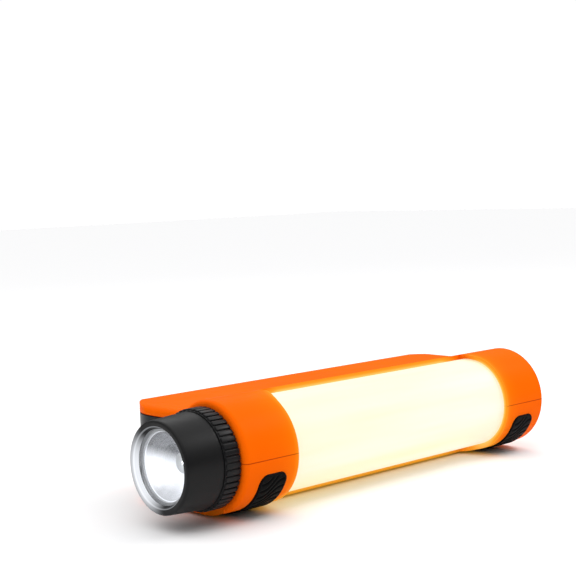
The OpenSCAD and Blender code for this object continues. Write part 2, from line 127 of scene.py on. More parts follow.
def eased(node, body, width, angle=35):
    """A moulded piece from its solid, with its sharp edges rounded by width in mm."""
    mesh = bpy.data.meshes.new(node + "_moulding")
    shape = bmesh.new()
    shape.from_mesh(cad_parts[node].data)
    bmesh.ops.remove_doubles(shape, verts=shape.verts, dist=2e-6)
    bmesh.ops.dissolve_limit(shape, angle_limit=math.radians(0.05), verts=shape.verts,
                             edges=shape.edges)
    shape.to_mesh(mesh)
    shape.free()
    for face in mesh.polygons:
        face.use_smooth = True
    mesh.set_sharp_from_angle(angle=math.radians(angle))
    piece = bpy.data.objects.new(node + "_moulding", mesh)
    scene.collection.objects.link(piece)
    edge = piece.modifiers.new("eased_edges", "BEVEL")
    edge.width = width / 1000
    edge.segments = 2
    edge.limit_method = "ANGLE"
    edge.angle_limit = math.radians(angle)
    edge.harden_normals = True
    even = piece.modifiers.new("even_shading", "WEIGHTED_NORMAL")
    even.keep_sharp = True
    even.weight = 90
    done = bpy.data.meshes.new_from_object(
        piece.evaluated_get(bpy.context.evaluated_depsgraph_get()))
    piece.modifiers.clear()
    piece.data = done
    done.name = node + "_moulding"
    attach(piece, body)
    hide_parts(node)
    return piece


def group(name, ins, outs):
    """An empty shader group with named sockets, its inside, its way in and its way out."""
    made = bpy.data.node_groups.new(name, "ShaderNodeTree")
    for label, kind, value in ins:
        sock = made.interface.new_socket(name=label, in_out="INPUT", socket_type=kind)
        sock.default_value = value
    for label, kind in outs:
        made.interface.new_socket(name=label, in_out="OUTPUT", socket_type=kind)
    return made, add(made, "NodeGroupInput"), add(made, "NodeGroupOutput")


def sums(tree, work, a, b=0.0, c=0.0):
    return add(tree, "ShaderNodeMath", {0: a, 1: b, 2: c}, operation=work).outputs[0]


def tint(tree, share, low, high, way="MIX"):
    return add(tree, "ShaderNodeMix", {0: share, 6: low, 7: high}, data_type="RGBA",
               blend_type=way).outputs[2]


FLOAT, COLOUR = "NodeSocketFloat", "NodeSocketColor"

# edges scuffed pale and partly a painted edge highlight: colour changed where the surface turns
# sharply, broken up by a fine noise
edge_scuff_and_highlight, came, went = group("rubbed edges", [("Width", FLOAT, 0.0006), ("Amount", FLOAT, 0.5)],
                              [("Mask", FLOAT)])
turned_n = add(edge_scuff_and_highlight, "ShaderNodeBevel", {"Radius": came.outputs["Width"]}, samples=4)
true_n = add(edge_scuff_and_highlight, "ShaderNodeNewGeometry")
turn = add(edge_scuff_and_highlight, "ShaderNodeVectorMath", {0: turned_n.outputs[0], 1: true_n.outputs["Normal"]},
           operation="DOT_PRODUCT").outputs["Value"]
scuff_and_highlight = add(edge_scuff_and_highlight, "ShaderNodeMapRange", {"Value": sums(edge_scuff_and_highlight, "SUBTRACT", 1.0, turn),
                                            "From Min": 0.02, "From Max": 0.22})
patch = add(edge_scuff_and_highlight, "ShaderNodeTexNoise", {
    "Vector": add(edge_scuff_and_highlight, "ShaderNodeTexCoord").outputs["Object"],
    "Scale": 260.0, "Detail": 4.0})
patch_m = add(edge_scuff_and_highlight, "ShaderNodeMapRange", {"Value": patch.outputs["Fac"],
                                                "From Min": 0.3, "From Max": 0.65})
edge_scuff_and_highlight.links.new(sums(edge_scuff_and_highlight, "MULTIPLY", sums(edge_scuff_and_highlight, "MULTIPLY", scuff_and_highlight.outputs[0],
                                                     patch_m.outputs[0]), came.outputs["Amount"]),
                    went.inputs["Mask"])

# moulded skin: slow colour drift, fine spark-eroded grain, and a gloss that varies
skin, came, went = group("moulded skin", [
    ("Colour", COLOUR, (1, 1, 1, 1)), ("Drift", COLOUR, (1, 1, 1, 1)),
    ("Grain per metre", FLOAT, 2600.0), ("Gloss low", FLOAT, 0.3), ("Gloss high", FLOAT, 0.45)],
    [("Colour", COLOUR), ("Roughness", FLOAT), ("Height", FLOAT)])
spot = add(skin, "ShaderNodeTexCoord").outputs["Object"]
slow = add(skin, "ShaderNodeTexNoise", {"Vector": spot, "Scale": 22.0, "Detail": 3.0})
slow_m = add(skin, "ShaderNodeMapRange", {"Value": slow.outputs["Fac"], "From Min": 0.35,
                                          "From Max": 0.68})
skin.links.new(tint(skin, slow_m.outputs[0], came.outputs["Colour"], came.outputs["Drift"]),
               went.inputs["Colour"])
grain = add(skin, "ShaderNodeTexNoise", {"Vector": spot, "Scale": came.outputs["Grain per metre"],
                                         "Detail": 2.0, "Roughness": 0.55})
smear = add(skin, "ShaderNodeTexNoise", {"Vector": spot, "Scale": 85.0, "Detail": 5.0,
                                         "Distortion": 0.8})
gloss = add(skin, "ShaderNodeMapRange", {"Value": smear.outputs["Fac"], "From Min": 0.3,
                                         "From Max": 0.7, "To Min": came.outputs["Gloss low"],
                                         "To Max": came.outputs["Gloss high"]})
skin.links.new(gloss.outputs[0], went.inputs["Roughness"])
skin.links.new(grain.outputs["Fac"], went.inputs["Height"])


def moulded(name, colour, drift, gloss=(0.3, 0.45), grain=2600, relief=0.012, scuffs_and_highlight=None,
            wear_and_highlight=0.35, shine=0.5):
    """A moulded plastic or rubber: skin, scuffed edges with a painted edge highlight, and fine
    relief.
    """
    made = bpy.data.materials.new(name)
    made.use_nodes = True
    tree = made.node_tree
    surface = tree.nodes["Principled BSDF"]
    face = add(tree, "ShaderNodeGroup", node_tree=skin)
    for key, value in (("Colour", (*colour, 1)), ("Drift", (*drift, 1)), ("Gloss low", gloss[0]),
                       ("Gloss high", gloss[1]), ("Grain per metre", float(grain))):
        face.inputs[key].default_value = value
    worn_and_highlit = add(tree, "ShaderNodeGroup", node_tree=edge_scuff_and_highlight)
    worn_and_highlit.inputs["Amount"].default_value = wear_and_highlight
    tone = tint(tree, worn_and_highlit.outputs["Mask"], face.outputs["Colour"], (*(scuffs_and_highlight or drift), 1))
    tree.links.new(tone, surface.inputs["Base Color"])
    tree.links.new(face.outputs["Roughness"], surface.inputs["Roughness"])
    bump = add(tree, "ShaderNodeBump", {"Height": face.outputs["Height"], "Strength": 0.5,
                                        "Distance": relief / 1000})
    tree.links.new(bump.outputs[0], surface.inputs["Normal"])
    surface.inputs["Specular IOR Level"].default_value = shine
    return made


# painted lamp light on the shells, set as emission: strongest at the window's lip and
# fading away from it; it reaches further over the flat pad side than round the drum
drum_r = 0.0225          # radius of the drum, in metres
lamp_r = 0.0202          # radius of the lamp's face
lip_past = 0.0044        # from the drum's axis on to the window's lip
lip_round = 0.0398       # from the front of the drum round its skin to that lip
window_half = 0.0655     # half the window's length
window_corner = 0.016    # the rounding of the glow at the window's corners
painted_lamp_glow, came, went = group("lamp glow through the wall", [
    ("Reach", FLOAT, 0.0042), ("Reach on pad side", FLOAT, 0.012)], [("Colour", COLOUR)])
part = add(painted_lamp_glow, "ShaderNodeSeparateXYZ",
           {0: add(painted_lamp_glow, "ShaderNodeTexCoord").outputs["Object"]})
middle = at(92.5, 0, 0)
along = sums(painted_lamp_glow, "ABSOLUTE", sums(painted_lamp_glow, "SUBTRACT", part.outputs["X"], middle.x))
out_y = sums(painted_lamp_glow, "SUBTRACT", part.outputs["Y"], middle.y)
out_z = sums(painted_lamp_glow, "SUBTRACT", part.outputs["Z"], middle.z)
round_drum = sums(painted_lamp_glow, "MULTIPLY", sums(painted_lamp_glow, "ARCTAN2", sums(
    painted_lamp_glow, "ABSOLUTE", out_z), sums(painted_lamp_glow, "MULTIPLY", out_y, -1.0)), drum_r)
on_slab = sums(painted_lamp_glow, "ADD", out_y, lip_round - lip_past)
past_lip = sums(painted_lamp_glow, "GREATER_THAN", out_y, lip_past)
across = add(painted_lamp_glow, "ShaderNodeMix", {0: past_lip, 2: round_drum, 3: on_slab}).outputs[0]
from_end = sums(painted_lamp_glow, "MAXIMUM", sums(
    painted_lamp_glow, "SUBTRACT", along, window_half - window_corner), 0.0)
from_lip = sums(painted_lamp_glow, "MAXIMUM", sums(
    painted_lamp_glow, "SUBTRACT", across, lip_round - window_corner), 0.0)
away = sums(painted_lamp_glow, "SUBTRACT", sums(painted_lamp_glow, "SQRT", sums(
    painted_lamp_glow, "ADD", sums(painted_lamp_glow, "MULTIPLY", from_end, from_end),
    sums(painted_lamp_glow, "MULTIPLY", from_lip, from_lip))), window_corner)
pad_side = add(painted_lamp_glow, "ShaderNodeMapRange", {
    "Value": out_z, "From Min": -0.015, "From Max": -drum_r}, interpolation_type="SMOOTHSTEP")
reach = add(painted_lamp_glow, "ShaderNodeMix", {0: pad_side.outputs[0], 2: came.outputs["Reach"],
                                         3: came.outputs["Reach on pad side"]}).outputs[0]
above = sums(painted_lamp_glow, "MAXIMUM", sums(painted_lamp_glow, "SUBTRACT", sums(painted_lamp_glow, "SQRT", sums(
    painted_lamp_glow, "ADD", sums(painted_lamp_glow, "MULTIPLY", out_y, out_y),
    sums(painted_lamp_glow, "MULTIPLY", out_z, out_z))), lamp_r), 0.0)
fade = sums(painted_lamp_glow, "EXPONENT", sums(painted_lamp_glow, "DIVIDE", sums(
    painted_lamp_glow, "MULTIPLY_ADD", above, -1.2, sums(painted_lamp_glow, "MULTIPLY", sums(
        painted_lamp_glow, "MAXIMUM", away, 0.0), -1.0)), reach))
ramp = add(painted_lamp_glow, "ShaderNodeValToRGB", {0: fade})
ramp.color_ramp.elements[0].color = (0, 0, 0, 1)
ramp.color_ramp.elements[1].color = (0.4, 0.56, 0.16, 1)
for place, colour in ((0.3, (0.04, 0.045, 0.001)), (0.7, (0.2, 0.24, 0.02))):
    ramp.color_ramp.elements.new(place).color = (*colour, 1)
painted_lamp_glow.links.new(ramp.outputs[0], went.inputs["Colour"])

# the closing line between the shells: a fine darker groove on the drum and on the slab
seam_line, came, went = group("closing line", [("Width", FLOAT, 0.00014)], [("Mask", FLOAT)])
part = add(seam_line, "ShaderNodeSeparateXYZ",
           {0: add(seam_line, "ShaderNodeTexCoord").outputs["Object"]})
seam_at = add(seam_line, "ShaderNodeMapRange", {
    "Value": part.outputs["Y"], "From Min": at(0, 17, 0).y, "From Max": at(0, 23, 0).y,
    "To Min": at(0, 0, 0).z, "To Max": at(0, 0, 12.6).z}).outputs[0]
gap = sums(seam_line, "ABSOLUTE", sums(seam_line, "SUBTRACT", part.outputs["Z"], seam_at))
seam_m = add(seam_line, "ShaderNodeMapRange", {
    "Value": gap, "From Min": came.outputs["Width"],
    "From Max": sums(seam_line, "MULTIPLY", came.outputs["Width"], 1.8),
    "To Min": 1.0, "To Max": 0.0})
seam_line.links.new(seam_m.outputs[0], went.inputs["Mask"])

for node, slot in (("lower_shell", "orange_shell_lower"), ("upper_shell", "orange_shell_upper")):
    shell = eased(node, "case", 0.3)
    orange = moulded(slot, (0.95, 0.136, 0.001), (0.92, 0.124, 0.0008), gloss=(0.34, 0.46),
                     scuffs_and_highlight=(1.0, 0.27, 0.03), wear_and_highlight=0.5, relief=0.008, shine=0.01)
    tree = orange.node_tree
    surface = tree.nodes["Principled BSDF"]
    seam = add(tree, "ShaderNodeGroup", node_tree=seam_line)
    before = surface.inputs["Base Color"].links[0].from_socket
    tree.links.new(tint(tree, seam.outputs["Mask"], before, (0.5, 0.045, 0.001, 1)),
                   surface.inputs["Base Color"])
    # the lamp's light on the shells, painted on as emission
    glow = add(tree, "ShaderNodeGroup", node_tree=painted_lamp_glow)
    tree.links.new(glow.outputs["Colour"], surface.inputs["Emission Color"])
    surface.inputs["Emission Strength"].default_value = 1.0
    shell.data.materials.clear()
    shell.data.materials.append(orange)


# ---------------------------------------------------------------- lamp
# A milky polycarbonate half tube snapped under the window's lip, lit from
# behind by a row of diodes on a white board in a white tray.
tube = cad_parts["lamp_diffuser"]
milky = bpy.data.materials.new("diffuser")
milky.use_nodes = True
tree = milky.node_tree
surface = tree.nodes["Principled BSDF"]
spot = add(tree, "ShaderNodeTexCoord").outputs["Object"]
long_way = add(tree, "ShaderNodeMapping", {0: spot}, vector_type="POINT")
long_way.inputs["Scale"].default_value = (5, 60, 60)
streak = add(tree, "ShaderNodeTexNoise", {"Vector": long_way.outputs[0], "Scale": 1.0,
                                          "Detail": 3.0})
cream = add(tree, "ShaderNodeValToRGB", {0: streak.outputs["Fac"]})
cream.color_ramp.elements[0].position = 0.34
cream.color_ramp.elements[0].color = (0.46, 0.40, 0.19, 1)
cream.color_ramp.elements[1].position = 0.66
cream.color_ramp.elements[1].color = (0.50, 0.46, 0.40, 1)
tree.links.new(cream.outputs[0], surface.inputs["Emission Color"])
surface.inputs["Emission Strength"].default_value = 1.0
surface.inputs["Base Color"].default_value = (0.58, 0.525, 0.42, 1)
haze = add(tree, "ShaderNodeTexNoise", {"Vector": spot, "Scale": 900.0, "Detail": 2.0})
sheen = add(tree, "ShaderNodeMapRange", {"Value": haze.outputs["Fac"], "To Min": 0.38,
                                         "To Max": 0.5})
tree.links.new(sheen.outputs[0], surface.inputs["Roughness"])
tree.links.new(add(tree, "ShaderNodeBump", {"Height": haze.outputs["Fac"], "Strength": 0.3,
                                            "Distance": 0.000008}).outputs[0],
               surface.inputs["Normal"])


def paint(node, finish):
    """Gives a solid of the frame its finish."""
    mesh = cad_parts[node].data
    mesh.materials.clear()
    mesh.materials.append(finish)


paint("lamp_diffuser", milky)
paint("lamp_reflector", moulded("white_reflector", (0.86, 0.86, 0.83), (0.8, 0.8, 0.76),
                                gloss=(0.4, 0.55), scuffs_and_highlight=(0.9, 0.9, 0.88)))
white_board = moulded("lamp_board_white", (0.82, 0.83, 0.81), (0.74, 0.76, 0.74),
                      gloss=(0.28, 0.36), relief=0.004, scuffs_and_highlight=(0.55, 0.5, 0.32), wear_and_highlight=0.8)
paint("lamp_board", white_board)


def lit(name, core, rim, strength, grain=1400):
    """A glowing diode or bar: its light drifts a little over its face."""
    made = bpy.data.materials.new(name)
    made.use_nodes = True
    tree = made.node_tree
    surface = tree.nodes["Principled BSDF"]
    speck = add(tree, "ShaderNodeTexNoise", {
        "Vector": add(tree, "ShaderNodeTexCoord").outputs["Object"], "Scale": float(grain)})
    tree.links.new(tint(tree, speck.outputs["Fac"], (*core, 1), (*rim, 1)),
                   surface.inputs["Emission Color"])
    surface.inputs["Emission Strength"].default_value = strength
    surface.inputs["Base Color"].default_value = (*rim, 1)
    surface.inputs["Roughness"].default_value = 0.3
    return made


paint("lamp_leds", lit("lamp_diodes", (1.0, 0.86, 0.5), (1.0, 0.7, 0.25), 3.0))


# ---------------------------------------------------------------- torch, fixed parts
# A black tube with a flange stands in the case's end. A spring ring holds the
# focus ring on it, an O-ring seals the sliding head, and a finned aluminium
# plug inside carries the diode on its round board.
metal, came, went = group("turned metal", [
    ("Colour", COLOUR, (0.8, 0.8, 0.8, 1)), ("Drift", COLOUR, (0.7, 0.7, 0.7, 1)),
    ("Lines per metre", FLOAT, 2400.0)],
    [("Colour", COLOUR), ("Roughness", FLOAT), ("Height", FLOAT)])
spot = add(metal, "ShaderNodeTexCoord").outputs["Object"]
part = add(metal, "ShaderNodeSeparateXYZ", {0: spot})
reeded = add(metal, "ShaderNodeCombineXYZ", {"X": sums(metal, "MULTIPLY", part.outputs["X"],
                                                       came.outputs["Lines per metre"])})
cut = add(metal, "ShaderNodeTexNoise", {"Vector": reeded.outputs[0], "Scale": 1.0, "Detail": 4.0})
cloud = add(metal, "ShaderNodeTexNoise", {"Vector": spot, "Scale": 120.0, "Detail": 4.0})
metal.links.new(tint(metal, cloud.outputs["Fac"], came.outputs["Colour"], came.outputs["Drift"]),
                went.inputs["Colour"])
shine = add(metal, "ShaderNodeMapRange", {"Value": cut.outputs["Fac"], "From Min": 0.3,
                                          "From Max": 0.7, "To Min": 0.16, "To Max": 0.36})
metal.links.new(shine.outputs[0], went.inputs["Roughness"])
metal.links.new(cut.outputs["Fac"], went.inputs["Height"])


def metallic(name, colour, drift, lines=2400, relief=0.004, worn_and_highlit=(0.9, 0.9, 0.9), wear_and_highlight=0.4):
    """A bare or plated metal with its tool lines and bright edges, scuffed and partly a painted
    highlight.
    """
    made = bpy.data.materials.new(name)
    made.use_nodes = True
    tree = made.node_tree
    surface = tree.nodes["Principled BSDF"]
    face = add(tree, "ShaderNodeGroup", node_tree=metal)
    face.inputs["Colour"].default_value = (*colour, 1)
    face.inputs["Drift"].default_value = (*drift, 1)
    face.inputs["Lines per metre"].default_value = float(lines)
    scuffs_and_highlight = add(tree, "ShaderNodeGroup", node_tree=edge_scuff_and_highlight)
    scuffs_and_highlight.inputs["Amount"].default_value = wear_and_highlight
    tree.links.new(tint(tree, scuffs_and_highlight.outputs["Mask"], face.outputs["Colour"], (*worn_and_highlit, 1)),
                   surface.inputs["Base Color"])
    tree.links.new(face.outputs["Roughness"], surface.inputs["Roughness"])
    tree.links.new(add(tree, "ShaderNodeBump", {"Height": face.outputs["Height"], "Strength": 0.4,
                                                "Distance": relief / 1000}).outputs[0],
                   surface.inputs["Normal"])
    surface.inputs["Metallic"].default_value = 1.0
    return made


paint("torch_barrel", moulded("barrel_black", (0.022, 0.022, 0.023), (0.03, 0.03, 0.03),
                              scuffs_and_highlight=(0.09, 0.09, 0.09)))
paint("ring_retainer", metallic("spring_steel", (0.45, 0.44, 0.42), (0.36, 0.35, 0.34)))
paint("barrel_seal", moulded("seal_rubber", (0.016, 0.016, 0.016), (0.024, 0.024, 0.024),
                             gloss=(0.35, 0.5)))
paint("torch_heatsink", metallic("heatsink_metal", (0.78, 0.79, 0.8), (0.66, 0.67, 0.69), 3200))
paint("torch_board", moulded("torch_board_white", (0.8, 0.81, 0.8), (0.72, 0.73, 0.72),
                             scuffs_and_highlight=(0.5, 0.42, 0.2), wear_and_highlight=0.7))
paint("torch_led", lit("torch_diode", (1.0, 1.0, 1.0), (0.86, 0.92, 1.0), 14.0))


# ---------------------------------------------------------------- torch, focus ring
# A black nylon ring with a row of raised grip ribs round it, moulded in one
# piece. It turns on the barrel between the case and the head.
def turned(name, drawing, sides=128):
    """A closed (x, r) drawing in mm spun about the drum's axis."""
    axis = at(0, 0, 0)
    shape = bmesh.new()
    rings = []
    for k in range(sides):
        a = 2 * math.pi * k / sides
        rings.append([shape.verts.new((at(x, 0, 0).x, axis.y + r / 1000 * math.cos(a),
                                       axis.z + r / 1000 * math.sin(a))) for x, r in drawing])
    for k in range(sides):
        here, there = rings[k], rings[(k + 1) % sides]
        for i in range(len(drawing)):
            j = (i + 1) % len(drawing)
            shape.faces.new((here[i], here[j], there[j], there[i]))
    bmesh.ops.recalc_face_normals(shape, faces=shape.faces)
    mesh = bpy.data.meshes.new(name)
    shape.to_mesh(mesh)
    shape.free()
    for face in mesh.polygons:
        face.use_smooth = True
    mesh.set_sharp_from_angle(angle=math.radians(28))
    made = bpy.data.objects.new(name, mesh)
    scene.collection.objects.link(made)
    return made


ring_black = moulded("ring_black", (0.006, 0.006, 0.0065), (0.011, 0.011, 0.0115),
                     gloss=(0.3, 0.44), scuffs_and_highlight=(0.075, 0.075, 0.08), wear_and_highlight=0.7, relief=0.01,
                     shine=0.14)
ring_core = turned("focus_ring_core", [(-7.6, 14.06), (-7.6, 19.2), (-7.35, 19.4), (-0.65, 19.4),
                                       (-0.4, 19.2), (-0.4, 14.06)])
ring_core.data.materials.append(ring_black)

# one rib, standing on the core at the top of the ring
rib_long, rib_wide, rib_deep = 0.0069, 0.00195, 0.0015
ring_r = 0.0201          # over the tops of the ribs
rib_shape = bmesh.new()
bmesh.ops.create_cube(rib_shape, size=1.0)
bmesh.ops.scale(rib_shape, verts=rib_shape.verts, vec=(rib_long, rib_wide, rib_deep))
bmesh.ops.bevel(rib_shape, geom=[e for e in rib_shape.edges], offset=0.00042, segments=3,
                profile=0.6, affect="EDGES")
bmesh.ops.translate(rib_shape, verts=rib_shape.verts, vec=(0, 0, ring_r - rib_deep / 2))
rib_mesh = bpy.data.meshes.new("grip_rib")
rib_shape.to_mesh(rib_mesh)
rib_shape.free()
for face in rib_mesh.polygons:
    face.use_smooth = True

rib_tree = bpy.data.node_groups.new("grip ribs round a ring", "GeometryNodeTree")
for label, kind, way in (("Geometry", "NodeSocketGeometry", "INPUT"),
                         ("Rib Count", "NodeSocketInt", "INPUT"),
                         ("Centre", "NodeSocketVector", "INPUT"),
                         ("Finish", "NodeSocketMaterial", "INPUT"),
                         ("Geometry", "NodeSocketGeometry", "OUTPUT")):
    rib_tree.interface.new_socket(name=label, in_out=way, socket_type=kind)
came = add(rib_tree, "NodeGroupInput")
went = add(rib_tree, "NodeGroupOutput")
spots = add(rib_tree, "GeometryNodePoints", {"Count": came.outputs["Rib Count"]})
step = add(rib_tree, "ShaderNodeMath", {0: 2 * math.pi, 1: came.outputs["Rib Count"]},
           operation="DIVIDE")
turn = add(rib_tree, "ShaderNodeMath", {0: add(rib_tree, "GeometryNodeInputIndex").outputs[0],
                                        1: step.outputs[0]}, operation="MULTIPLY")
angles = add(rib_tree, "ShaderNodeCombineXYZ", {"X": turn.outputs[0]})
spread = add(rib_tree, "GeometryNodeInstanceOnPoints", {
    "Points": spots.outputs[0], "Instance": came.outputs["Geometry"],
    "Rotation": angles.outputs[0]})
real = add(rib_tree, "GeometryNodeRealizeInstances", {0: spread.outputs[0]})
moved = add(rib_tree, "GeometryNodeTransform", {"Geometry": real.outputs[0],
                                                "Translation": came.outputs["Centre"]})
clad = add(rib_tree, "GeometryNodeSetMaterial", {"Geometry": moved.outputs[0],
                                                 "Material": came.outputs["Finish"]})
rib_tree.links.new(clad.outputs[0], went.inputs[0])

ribs = bpy.data.objects.new("focus_ring_ribs", rib_mesh)
scene.collection.objects.link(ribs)
layout = ribs.modifiers.new("ribs", "NODES")
layout.node_group = rib_tree
named = {s.name: s.identifier for s in rib_tree.interface.items_tree if s.in_out == "INPUT"}
layout[named["Rib Count"]] = 48
layout[named["Centre"]] = tuple(at(-4.0, 0, 0))
layout[named["Finish"]] = ring_black
ribs_real = bpy.data.meshes.new_from_object(
    ribs.evaluated_get(bpy.context.evaluated_depsgraph_get()))
ribs.modifiers.clear()
ribs.data = ribs_real
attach(ring_core, "focus_ring")
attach(ribs, "focus_ring")
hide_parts("focus_ring")


# ---------------------------------------------------------------- torch, sliding head
# A satin black bezel holds the lens, a silicone gasket and the bright
# reflector cone, and a metal sleeve glued inside it slides on the barrel.
bezel = turned("torch_bezel_turning", [
    (-18.7, 16.5), (-7.9, 16.5), (-7.9, 18.75), (-8.0, 18.98), (-8.25, 19.08), (-9.1, 19.03),
    (-16.5, 18.6), (-23.6, 18.18), (-24.15, 18.1), (-24.48, 17.9), (-24.66, 17.6), (-24.7, 17.2),
    (-24.68, 16.1), (-24.6, 15.8), (-24.35, 15.55), (-22.85, 14.75), (-22.7, 14.65), (-22.66, 14.8),
    (-22.66, 15.3), (-18.7, 15.3)], 160)
bezel_black = moulded("bezel_black", (0.006, 0.006, 0.0063), (0.011, 0.011, 0.0113),
                      gloss=(0.34, 0.46), scuffs_and_highlight=(0.1, 0.1, 0.105), wear_and_highlight=0.45, relief=0.014,
                      shine=0.13)
# painted light of the torch on the mouth's sloping edge, most of all low down, set as emission
tree = bezel_black.node_tree
surface = tree.nodes["Principled BSDF"]
part = add(tree, "ShaderNodeSeparateXYZ", {0: add(tree, "ShaderNodeTexCoord").outputs["Object"]})
out_y = sums(tree, "SUBTRACT", part.outputs["Y"], at(0, 0, 0).y)
out_z = sums(tree, "SUBTRACT", part.outputs["Z"], at(0, 0, 0).z)
radius = sums(tree, "SQRT", sums(tree, "MULTIPLY_ADD", out_y, out_y,
                                 sums(tree, "MULTIPLY", out_z, out_z)))
mouth = add(tree, "ShaderNodeMapRange", {"Value": radius, "From Min": 0.0184, "From Max": 0.0152,
                                         "To Min": 0.2, "To Max": 1.0})
front = add(tree, "ShaderNodeMapRange", {"Value": part.outputs["X"], "From Min": at(-22.5, 0, 0).x,
                                         "From Max": at(-22.8, 0, 0).x})
low = add(tree, "ShaderNodeMapRange", {
    "Value": sums(tree, "MULTIPLY_ADD", out_z, -0.4, out_y),
    "From Min": 0.0035, "From Max": 0.0165, "To Min": 0.0, "To Max": 0.95},
    interpolation_type="SMOOTHSTEP")
# a thin painted highlight line round the mouth, at its front
line = add(tree, "ShaderNodeMapRange", {
    "Value": sums(tree, "ABSOLUTE", sums(tree, "SUBTRACT", radius, 0.01565)),
    "From Min": 0.0001, "From Max": 0.0003, "To Min": 0.22, "To Max": 0.0})
near = add(tree, "ShaderNodeMapRange", {"Value": part.outputs["X"], "From Min": at(-22.9, 0, 0).x,
                                        "From Max": at(-24.2, 0, 0).x})
tree.links.new(sums(tree, "MULTIPLY_ADD", line.outputs[0], near.outputs[0], sums(
    tree, "MULTIPLY", sums(tree, "MULTIPLY", mouth.outputs[0], front.outputs[0]), low.outputs[0])),
    surface.inputs["Emission Strength"])
surface.inputs["Emission Color"].default_value = (0.92, 0.95, 1.0, 1)
bezel.data.materials.append(bezel_black)
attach(bezel, "torch_head")
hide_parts("torch_bezel")

paint("head_sleeve", metallic("sleeve_metal", (0.7, 0.7, 0.71), (0.58, 0.58, 0.6), 3000))
paint("lens_gasket", moulded("gasket_rubber", (0.5, 0.51, 0.53), (0.42, 0.43, 0.45),
                             gloss=(0.25, 0.4), scuffs_and_highlight=(0.7, 0.7, 0.72)))

# the reflector, dished from the diode to its rim. The torch's light across its middle
# and a bright line round its rim are painted on it as emission.
dish = turned("torch_reflector_dish", [
    (-12.2, 4.0), (-12.2, 5.0), (-18.2, 12.0), (-18.75, 12.3), (-18.75, 15.2), (-19.7, 15.2),
    (-19.7, 13.5), (-19.66, 13.25), (-18.6, 12.3), (-17.0, 10.6), (-15.2, 8.4), (-13.6, 6.1),
    (-12.6, 4.5)], 128)
mirror = metallic("torch_mirror", (0.12, 0.125, 0.135), (0.06, 0.064, 0.075), 900,
                  worn_and_highlit=(0.5, 0.5, 0.52))
tree = mirror.node_tree
surface = tree.nodes["Principled BSDF"]
part = add(tree, "ShaderNodeSeparateXYZ", {0: add(tree, "ShaderNodeTexCoord").outputs["Object"]})
out_y = sums(tree, "SUBTRACT", part.outputs["Y"], at(0, 0, 0).y)
out_z = sums(tree, "SUBTRACT", part.outputs["Z"], at(0, 0, 0).z)
radius = sums(tree, "SQRT", sums(tree, "MULTIPLY_ADD", out_y, out_y,
                                 sums(tree, "MULTIPLY", out_z, out_z)))
under = add(tree, "ShaderNodeMapRange", {"Value": sums(tree, "MULTIPLY_ADD", out_y, -0.35, out_z),
                                         "From Min": 0.004, "From Max": -0.004},
            interpolation_type="SMOOTHSTEP")
foot = add(tree, "ShaderNodeMapRange", {"Value": out_z, "From Min": -0.006, "From Max": -0.0115,
                                        "To Min": 1.0, "To Max": 0.45},
           interpolation_type="SMOOTHSTEP")
flange = add(tree, "ShaderNodeMapRange", {"Value": radius, "From Min": 0.0133, "From Max": 0.0138,
                                          "To Min": 1.0, "To Max": 0.85})
line = add(tree, "ShaderNodeMapRange", {
    "Value": sums(tree, "ABSOLUTE", sums(tree, "SUBTRACT", radius, 0.01335)),
    "From Min": 0.00012, "From Max": 0.0003, "To Min": 0.5, "To Max": 0.0})
painted_light_pool = sums(tree, "MULTIPLY_ADD", sums(tree, "MULTIPLY", under.outputs[0], foot.outputs[0]),
            flange.outputs[0], line.outputs[0])
tree.links.new(tint(tree, painted_light_pool, (0.004, 0.005, 0.008, 1), (0.9, 0.92, 0.97, 1)),
               surface.inputs["Emission Color"])
surface.inputs["Emission Strength"].default_value = 1.1
dish.data.materials.append(mirror)
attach(dish, "torch_head")
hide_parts("torch_reflector")

# the lens, clear polycarbonate with a slightly domed face
lens = turned("torch_lens_disc", [(-20.7, 0.0001), (-20.7, 15.1), (-20.8, 15.2), (-22.5, 15.2),
                                  (-22.62, 15.1), (-22.65, 14.0), (-22.65, 0.0001)], 96)
clear = bpy.data.materials.new("lens_clear")
clear.use_nodes = True
tree = clear.node_tree
surface = tree.nodes["Principled BSDF"]
surface.inputs["Base Color"].default_value = (0.97, 0.985, 1.0, 1)
surface.inputs["Transmission Weight"].default_value = 1.0
surface.inputs["IOR"].default_value = 1.5
smudge = add(tree, "ShaderNodeTexNoise", {
    "Vector": add(tree, "ShaderNodeTexCoord").outputs["Object"], "Scale": 180.0, "Detail": 5.0})
blur = add(tree, "ShaderNodeMapRange", {"Value": smudge.outputs["Fac"], "From Min": 0.35,
                                        "From Max": 0.8, "To Min": 0.0, "To Max": 0.06})
tree.links.new(blur.outputs[0], surface.inputs["Roughness"])
lens.data.materials.append(clear)
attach(lens, "torch_head")
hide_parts("torch_lens")


# ---------------------------------------------------------------- jump socket and its cover
# A black cover wraps the case corner and swings on a steel pin. Behind it a
# black frame carries the blue two-pole socket with its gold-plated contacts.
cover = eased("socket_cover", "socket_cover", 0.3)
cover.data.materials.clear()
cover.data.materials.append(moulded("cover_black", (0.006, 0.0065, 0.008), (0.010, 0.011, 0.012),
                                    gloss=(0.26, 0.4), scuffs_and_highlight=(0.08, 0.08, 0.085), wear_and_highlight=0.6,
                                    shine=0.14))
paint("socket_cover_pin", metallic("pin_steel", (0.56, 0.56, 0.57), (0.45, 0.45, 0.46)))
holder = eased("corner_frame", "case", 0.2)
holder.data.materials.clear()
holder.data.materials.append(moulded("frame_black", (0.018, 0.018, 0.02), (0.026, 0.026, 0.028),
                                     gloss=(0.4, 0.55), scuffs_and_highlight=(0.08, 0.08, 0.08)))
block = eased("jump_socket", "case", 0.3)
block.data.materials.clear()
block.data.materials.append(moulded("socket_blue", (0.018, 0.085, 0.42), (0.014, 0.07, 0.36),
                                    gloss=(0.28, 0.4), scuffs_and_highlight=(0.1, 0.22, 0.6)))
